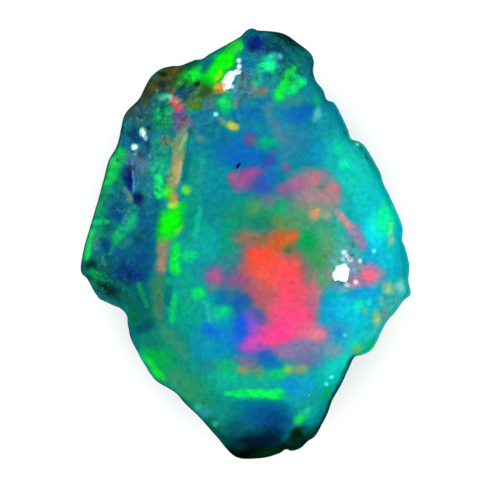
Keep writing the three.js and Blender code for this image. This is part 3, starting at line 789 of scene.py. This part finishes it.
STREAKS = dict(
    loopA=(279, 96, 291, 71, 5, (0, 246, 60)),
    loopB=(292, 72, 301, 82, 3.5, (0, 230, 120)),
    loopC=(301, 83, 289, 92, 4.2, (0, 238, 116)),
    lightNavy=(133, 160, 134, 190, 1.6, (60, 140, 184), 0.9),
    greyTanA=(125, 189, 131, 201, 2.4, (110, 150, 134), 0.7),
    greyTanB=(134, 206, 123, 221, 2.2, (60, 140, 144), 0.7),
    greyLow=(130, 240, 122, 247, 3, (44, 134, 138), 0.7),
    greyBlue=(139, 160, 139, 180, 4, (40, 116, 142), 0.8),
    greenAcross=(92, 222, 106, 222, 2.6, (0, 200, 108), 0.9),
    thinGreen=(139, 284, 147, 306, 2.4, (0, 160, 86), 0.8),
    greenStripe=(175, 297, 172, 320, 2.8, (0, 210, 100)),
    seamLight=(181, 163, 177, 182, 1.6, (190, 176, 144), 0.8),
    seamGreenLine=(186, 134, 180, 150, 1.5, (120, 200, 130), 0.8),
    # seamDarkLine: painted shadow beside the seam ridge.
    seamDarkLine=(190, 128, 187, 150, 1.0, (0, 90, 100), 0.45),
    mintSeamB=(157.5, 178, 158.5, 194, 4, (0, 228, 116)),
    streakMainA=(200, 209, 195, 234, 2.4, (0, 198, 150), 0.65),
    streakMainB=(202, 156, 200, 182, 3, (34, 158, 150), 0.6),
    lightStroke=(207, 305, 210, 320, 2.4, (40, 190, 170), 0.7),
    streakTailLeft=(227, 394, 246, 394, 2.6, (0, 226, 100), 0.9),
    streakTailRight=(280, 396, 291, 398, 2.8, (0, 190, 130), 0.7),
    darkSlit=(237, 166.5, 240, 164, 1.2, (0, 22, 60)),
)

# Painted highlights: small white and pale cyan glint dots, some of them painted under the glint chips.
PAINTED_GLINTS = dict(
    haloDotA=(344, 252.5, 2.6, 2.4, (236, 252, 252)),
    haloDotB=(350, 259.5, 3, 2.4, -30, (232, 250, 252)),
    haloDotC=(360, 261, 2.2, 2.4, (196, 220, 240)),
    haloDotF=(347, 256, 2, 2, (220, 248, 250)),
    haloDotG=(343, 259, 2, 2.2, (150, 226, 236)),
    haloDotH=(346.5, 263.5, 2.4, 1.6, (110, 204, 214)),
    haloDotD=(347, 285, 3, 2.4, (222, 240, 244)),
    haloDotE=(356, 282, 2.6, 2.4, (240, 232, 246)),
    cyanRimDot=(357, 145, 2.5, 2.3, (110, 248, 244)),
    cyanSideDot=(374, 251, 2.4, 2.4, (80, 244, 246)),
    whiteDotTop=(239, 66.5, 2.6, 2.8, (226, 250, 250)),
    whiteDotTopB=(238.6, 60.5, 2.6, 2.6, (226, 250, 250)),
    whiteDotLow=(232, 86.6, 2.2, 2.2, (180, 244, 250)),
    cyanDotTop=(216, 114, 2.6, 2.3, (140, 232, 236)),
    cyanDotMid=(345, 335, 2, 2, (20, 238, 250)),
    cyanFleckRight=(369, 302, 2.6, 3.6, (0, 240, 252), 0.9),
    cyanDotLowA=(331.5, 377, 2.3, 2, (90, 250, 255)),
    cyanDotLowB=(326.5, 384, 2.3, 2, (90, 250, 255)),
    templeCore=(142.5, 132.5, 3.2, 4.4, (236, 246, 250)),
    templeTail=(145.6, 138, 2, 2.8, 15, (200, 240, 246)),
    templeCoreB=(134.7, 147, 3.2, 3.4, (236, 246, 252)),
    templeTailB=(135.4, 153, 2.2, 2, (150, 206, 250)),
)

# Where the skin is full of specks, in red, and how dull it is, in green.
SPECKLED = (255, 45, 0)
DULL = (255, 255, 0)
GRIT = dict(
    gritLobe=(276, 60, 48, 34, SPECKLED, 0.75),
    gritUpperLeft=(160, 104, 42, 40, 30, SPECKLED, 0.9),
    gritFacet=(124, 200, 34, 80, -8, SPECKLED, 0.7),
    gritCorner=(106, 278, 32, 22, -20, SPECKLED, 0.8),
    gritRight=(332, 122, 18, 26, -25, SPECKLED, 0.35),
    gritTopMiddle=(222, 110, 34, 26, SPECKLED, 0.5),
    gritSeam=(160, 168, 14, 34, SPECKLED, 0.4),
    gritHalo=(348, 266, 20, 22, SPECKLED, 0.7),
    gritRim=(364, 150, 20, 14, -50, SPECKLED, 0.7),
    gritBevel=(384, 310, 30, 14, 58, SPECKLED, 0.25),
    dullByShine=(244, 86, 9, 17, -8, DULL),
    dullLine=(188, 98, 18, 8, 45, DULL),
    dullTemple=(136, 161, 13, 13, DULL),
)

STROKES = {**BANDS, **STREAKS}


def linear(rgb):
    """A colour as the eye sees it, 0 to 255 a channel, made ready for blending."""
    parts = [v / 255 / 12.92 if v <= SRGB_STRAIGHT else ((v / 255 + 0.055) / 1.055) ** 2.4 for v in rgb]
    return tuple((v * EXPOSURE) ** (1 / BLEND_POWER) for v in parts) + (1,)


def add(tree, kind, inputs=None, **settings):
    """A node with its settings, and its inputs set to a value or joined to a socket."""
    node = tree.nodes.new(kind)
    for key, value in settings.items():
        setattr(node, key, value)
    for key, value in (inputs or {}).items():
        socket = node.inputs[key]
        if isinstance(value, bpy.types.NodeSocket):
            tree.links.new(value, socket)
        else:
            socket.default_value = value
    return node


def math_node(tree, operation, *values, clamp=False):
    inputs = dict(enumerate(values))
    return add(tree, "ShaderNodeMath", inputs, operation=operation, use_clamp=clamp).outputs[0]


def vector_node(tree, operation, *values):
    inputs = dict(enumerate(values))
    if operation == "SCALE":
        inputs = {0: values[0], 3: values[1]}
    outputs = add(tree, "ShaderNodeVectorMath", inputs, operation=operation).outputs
    return outputs["Value" if operation in ("DOT_PRODUCT", "LENGTH") else "Vector"]


def mixed(tree, factor, a, b, blend="MIX"):
    return add(tree, "ShaderNodeMix", {0: factor, 6: a, 7: b}, data_type="RGBA", blend_type=blend).outputs[2]


def ramped(tree, value, low, high, to_low=0.0, to_high=1.0, kind="SMOOTHSTEP", clamp=True):
    inputs = {"Value": value, "From Min": low, "From Max": high, "To Min": to_low, "To Max": to_high}
    return add(tree, "ShaderNodeMapRange", inputs, interpolation_type=kind, clamp=clamp).outputs[0]


def colour_ramp(tree, value, stops, kind="LINEAR"):
    """A colour ramp through stops, each a place and a colour."""
    node = add(tree, "ShaderNodeValToRGB", {"Fac": value})
    ramp = node.color_ramp
    ramp.interpolation = kind
    for element, (at, shade) in zip(ramp.elements, (stops[0], stops[-1])):
        element.position, element.color = at, linear(shade)
    for at, shade in stops[1:-1]:
        ramp.elements.new(at).color = linear(shade)
    return node.outputs[0]


def flash_group():
    """One soft-edged, ragged patch of colour, an egg or a stroke, laid over what is under it.
    Long, Wide and Deep are the directions of its half axes, each divided by that half axis.
    A stroke is straight for a while: half that length, in the same measure, is Straight."""
    tree = bpy.data.node_groups.new("flash", "ShaderNodeTree")
    kinds = {
        "Under": "Color", "Place": "Vector", "Rag": "Float", "Centre": "Vector",
        "Long": "Vector", "Wide": "Vector", "Deep": "Vector", "Straight": "Float",
        "Inner": "Float", "Outer": "Float", "Ragged": "Float", "Colour": "Color", "Strength": "Float",
    }
    for name, kind in kinds.items():
        tree.interface.new_socket(name, in_out="INPUT", socket_type=f"NodeSocket{kind}")
    tree.interface.new_socket("Result", in_out="OUTPUT", socket_type="NodeSocketColor")
    given = tree.nodes.new("NodeGroupInput").outputs
    away = vector_node(tree, "SUBTRACT", given["Place"], given["Centre"])
    parts = [vector_node(tree, "DOT_PRODUCT", away, given[axis]) for axis in ("Long", "Wide", "Deep")]
    back = math_node(tree, "MULTIPLY", given["Straight"], -1.0)
    limits = {"Value": parts[0], "Min": back, "Max": given["Straight"]}
    stretch = add(tree, "ShaderNodeClamp", limits).outputs[0]
    parts[0] = math_node(tree, "SUBTRACT", parts[0], stretch)
    local = add(tree, "ShaderNodeCombineXYZ", dict(enumerate(parts))).outputs[0]
    far = vector_node(tree, "LENGTH", local)
    torn = math_node(tree, "MULTIPLY_ADD", given["Rag"], given["Ragged"], far)
    # With its own clamp this node takes too much of the renderer's stack.
    mask = ramped(tree, torn, given["Inner"], given["Outer"], given["Strength"], 0.0, clamp=False)
    result = mixed(tree, mask, given["Under"], given["Colour"])
    tree.links.new(result, tree.nodes.new("NodeGroupOutput").inputs[0])
    return tree


def surface_height(x, y):
    """Height of the crown over a point, in mm."""
    return float(crown_points[np.argmin(np.hypot(crown_points[:, 0] - x, crown_points[:, 1] - y)), 2])


def on_stone(px, py):
    """The point of the crown, in mm, that is seen at a pixel."""
    z = surface_height(*seen_at(px, py, AIM[2]))
    return *seen_at(px, py, z), z


def lay_patches(tree, flash, under, patches, at, rag, soft, ragged):
    """Patches laid over a colour, one after another, each at its place on the stone."""
    for name, patch in patches.items():
        split = next(k for k, value in enumerate(patch) if isinstance(value, tuple))
        shape, shade, strength = patch[:split], patch[split], (*patch, 1)[split + 1]
        if name in STROKES:
            px, py, qx, qy, wide = shape
            turn = math.degrees(math.atan2(py - qy, qx - px))
            long, straight = wide, math.hypot(qx - px, qy - py) / 2 / wide
            px, py = (px + qx) / 2, (py + qy) / 2
        else:
            px, py, long, wide, turn = (*shape, 0)[:5]
            straight = 0
        long, wide = long * PICTURE_SCALE, wide * PICTURE_SCALE
        deep = PATCH_DEPTH[0] * (long * (1 + straight) + PATCH_DEPTH[1])
        c, s = math.cos(math.radians(turn)), math.sin(math.radians(turn))
        inputs = {
            "Place": at, "Rag": rag, "Under": under, "Centre": on_stone(px, py),
            "Long": (c / long, s / long, 0), "Wide": (-s / wide, c / wide, 0), "Deep": (0, 0, 1 / deep),
            "Straight": straight, "Inner": 1 - soft, "Outer": 1 + soft, "Ragged": ragged * RAG_STRENGTH,
            "Colour": linear(shade), "Strength": strength,
        }
        under = add(tree, "ShaderNodeGroup", inputs, node_tree=flash, name=name, label=name).outputs[0]
    return under


def opal_material():
    material = bpy.data.materials.new("opal")
    material.use_nodes = True
    tree = material.node_tree
    tree.nodes.clear()
    spot = add(tree, "ShaderNodeTexCoord").outputs["Object"]
    place = vector_node(tree, "SCALE", spot, 1 / MM)

    def noise(size, detail=2.0, rough=0.5, at=place):
        inputs = {"Vector": at, "Scale": 1 / size, "Detail": detail, "Roughness": rough}
        return add(tree, "ShaderNodeTexNoise", inputs).outputs

    def warp(size, reach, detail=2.0, read=place):
        """Places pushed about by up to half a reach, by noise read at some other places."""
        stir = noise(size, detail, at=read)["Color"]
        centred = vector_node(tree, "SUBTRACT", stir, (0.5, 0.5, 0.5))
        return vector_node(tree, "ADD", place, vector_node(tree, "SCALE", centred, reach))

    def reading(name):
        return add(tree, "ShaderNodeAttribute", attribute_name=name, attribute_type="GEOMETRY").outputs["Fac"]

    def cells(under, size, presence, tints, at, shift):
        """Cells of flat colour laid over a colour, some of them left out."""
        moved = vector_node(tree, "ADD", at, (shift, shift * 1.7, shift * 0.6))
        inputs = {"Vector": moved, "Scale": 1 / size, "Randomness": 1.0}
        cell = add(tree, "ShaderNodeTexVoronoi", inputs, feature="F1").outputs
        pick = add(tree, "ShaderNodeSeparateColor", {0: cell["Color"]}).outputs
        hue = colour_ramp(tree, pick[0], [(k / len(tints), tint) for k, tint in enumerate(tints)], "CONSTANT")
        middle = ramped(tree, cell["Distance"], *CELL_EDGE, 1, 0)
        there = ramped(tree, pick[1], 1 - presence - PRESENCE_BLUR, 1 - presence + PRESENCE_BLUR)
        return mixed(tree, math_node(tree, "MULTIPLY", middle, there), under, hue)

    # Play of colour through the whole stone: slow zones, then cells of flashes.
    stirred = warp(2.2, 3.0, 3)
    inner = colour_ramp(tree, noise(BODY_SIZE, 2, at=stirred)["Fac"], BODY_STOPS)
    inner = cells(inner, 3.4, 0.4, LARGE_CELLS, stirred, 3.0)
    inner = cells(inner, 1.5, 0.28, SMALL_CELLS, warp(0.9, 1.3, 3), 9.0)

    # The crown's colours, each patch at its place on the surface: its own play of colour, with painted
    # highlights, painted soft reflections and painted shade among them.
    flash = flash_group()
    drift = warp(2.0, 0.7, 2, stirred)
    fine_drift = warp(0.9, 0.35, 3, stirred)
    rag = math_node(tree, "SUBTRACT", noise(RAG_SIZE, 3, 0.6)["Fac"], 0.5)
    edge = reading("from_edge")
    below = reading("below_waist")
    fade, end, wander = CROWN_FADE
    ragged_below = math_node(tree, "ADD", below, math_node(tree, "MULTIPLY", rag, wander))
    on_crown = ramped(tree, ragged_below, fade, end, 1.0, 0.0)
    colour = add(tree, "ShaderNodeRGB").outputs[0]
    colour.default_value = linear(CROWN_COLOUR)
    # Each layer's patches, the places they are read at, and how soft and ragged they are.
    layers = [
        (ZONES, drift, 0.75, 0.15), (GLOWS, drift, 0.75, 0.18), (BANDS, drift, 0.7, 0.2),
        (FLASHES, fine_drift, 0.7, 0.25), (STREAKS, fine_drift, 0.7, 0.25), (PAINTED_GLINTS, place, 0.5, 0.12),
    ]
    for patches, at, soft, ragged in layers:
        colour = lay_patches(tree, flash, colour, patches, at, rag, soft, ragged)
    colour = mixed(tree, on_crown, inner, colour)

    # Rough skin: dark and pale specks, then stains.
    skin_map = add(tree, "ShaderNodeRGB").outputs[0]
    skin_map.default_value = (0, 0, 0, 1)
    skin_map = lay_patches(tree, flash, skin_map, GRIT, drift, rag, 0.6, 0.2)
    grit, dull = add(tree, "ShaderNodeSeparateColor", {0: skin_map}).outputs[:2]
    for shade, size, detail, low, high, strength in SPECKS:
        speck = ramped(tree, noise(size, detail, 0.6)["Fac"], low, high)
        amount = math_node(tree, "MULTIPLY", speck, math_node(tree, "MULTIPLY", grit, strength))
        colour = mixed(tree, amount, colour, linear(shade))
    stain = vector_node(tree, "SUBTRACT", noise(STAIN[0], 3, 0.6)["Color"], (0.5, 0.5, 0.5))
    stain = vector_node(tree, "SCALE", stain, math_node(tree, "MULTIPLY", grit, STAIN[1]))
    stain = vector_node(tree, "ADD", stain, (1, 1, 1))
    colour = mixed(tree, 1.0, colour, stain, "MULTIPLY")

    # The thin dark rim, painted shade along the outline. It fades out along the right, where light comes
    # through the thin edge instead.
    across = add(tree, "ShaderNodeSeparateXYZ", {0: place}).outputs[0]
    rim = ramped(tree, math_node(tree, "ABSOLUTE", edge), 0.0, *RIM, 0.0)
    rim = math_node(tree, "MULTIPLY", rim, ramped(tree, across, RIM_FADE[0], RIM_FADE[1], 1.0, RIM_FADE[2]))
    colour = mixed(tree, rim, colour, linear(RIM_SHADE_COLOUR))
    # A painted glow: the colour is lightened along the right edge, standing in for light through the thin
    # edge.
    thin = ramped(tree, edge, 0.0, *EDGE_GLOW, 0.0)
    thin = math_node(tree, "MULTIPLY", thin, ramped(tree, across, *EDGE_GLOW_FADE))
    colour = vector_node(tree, "SCALE", colour, math_node(tree, "ADD", thin, 1.0))

    # Fine mottling all over.
    mottle = noise(MOTTLE_SIZE, 3, 0.6)["Color"]
    mottle = vector_node(tree, "MULTIPLY_ADD", mottle, (MOTTLE_DEPTH,) * 3, (MOTTLE_BASE,) * 3)
    colour = mixed(tree, 1.0, colour, mottle, "MULTIPLY")
    colour = add(tree, "ShaderNodeGamma", {"Color": colour, "Gamma": BLEND_POWER}).outputs[0]

    # Gloss and the finest bumps.
    skin = noise(SKIN_SIZE, 3, 0.6)["Fac"]
    gloss = ramped(tree, skin, *SKIN_RANGE, *SKIN_ROUGHNESS, "LINEAR")
    dull = math_node(tree, "MULTIPLY", dull, on_crown)
    off_glints = ramped(tree, reading("polish"), 0.0, POLISHED, DULL_ROUGHNESS, 0.0)
    rough = math_node(tree, "ADD", gloss, math_node(tree, "MULTIPLY", dull, off_glints), clamp=True)
    bumps = {"Strength": BUMP_STRENGTH, "Distance": BUMP_HEIGHT, "Height": skin}
    bump = add(tree, "ShaderNodeBump", bumps).outputs[0]
    bsdf = add(tree, "ShaderNodeBsdfPrincipled", {
        "Base Color": colour, "Roughness": rough, "Normal": bump,
        "IOR": STONE_IOR, "Specular IOR Level": STONE_SPECULAR,
    })
    add(tree, "ShaderNodeOutputMaterial", {0: bsdf.outputs[0]})
    return material


mesh.materials.append(opal_material())

# ---- floor, light and camera
CAMERA_CLIP = (0.01, 10)  # m
FLOOR_SIZE = 3            # m
FLOOR_DROP = 0.00001      # m, so that the stone's resting face doesn't fight with it
FLOOR_LOOK = {"Base Color": (0.9, 0.9, 0.9, 1), "Roughness": 1, "Specular IOR Level": 0}
STUDIO_LIGHT = 1.6
KEY_LIGHT = {"heading": 120, "tilt": 45, "distance": 0.8, "diameter": 0.6, "radiance": 0.7}
GLINT_LIGHT = {"distance": 0.6, "diameter": 0.055, "radiance": 90}

scene = bpy.context.scene
camera = bpy.data.objects.new("camera", bpy.data.cameras.new("camera"))
camera.data.lens = LENS
camera.data.sensor_width = SENSOR
camera.location = [AIM[0] * MM, AIM[1] * MM, (AIM[2] + CAMERA_DISTANCE) * MM]
camera.data.clip_start, camera.data.clip_end = CAMERA_CLIP
scene.collection.objects.link(camera)
bpy.context.scene.camera = camera

bpy.ops.mesh.primitive_plane_add(size=FLOOR_SIZE, location=(0, 0, -FLOOR_DROP))
floor = bpy.context.object
floor.name = "floor"
floor_material = bpy.data.materials.new("floor")
floor_material.use_nodes = True
for socket, value in FLOOR_LOOK.items():
    floor_material.node_tree.nodes["Principled BSDF"].inputs[socket].default_value = value
floor.data.materials.append(floor_material)
floor.visible_glossy = False

scene.view_settings.view_transform = "Standard"
world = bpy.data.worlds.new("studio")
scene.world = world
world.use_nodes = True
background = world.node_tree.nodes["Background"]
background.inputs["Color"].default_value = (1, 1, 1, 1)
background.inputs["Strength"].default_value = STUDIO_LIGHT
world.cycles_visibility.glossy = False


def lamp(name, heading, tilt, distance, diameter, radiance, glossy):
    """A round lamp that shines on the stone. A glossy one is seen only in reflections, the others never."""
    light = bpy.data.lights.new(name, "AREA")
    light.shape = "DISK"
    light.size = diameter
    light.energy = radiance * math.pi * math.pi * (diameter / 2) ** 2
    holder = bpy.data.objects.new(name, light)
    a, e = math.radians(heading), math.radians(tilt)
    away = Vector((math.sin(e) * math.cos(a), math.sin(e) * math.sin(a), math.cos(e)))
    holder.location = away * distance
    holder.rotation_euler = away.to_track_quat("Z", "Y").to_euler()
    holder.visible_glossy = glossy
    holder.visible_diffuse = not glossy
    scene.collection.objects.link(holder)


lamp("key", **KEY_LIGHT, glossy=False)
for name, (heading, slope) in GLINT_LAMPS.items():
    lamp(name, heading, 2 * slope, **GLINT_LIGHT, glossy=True)
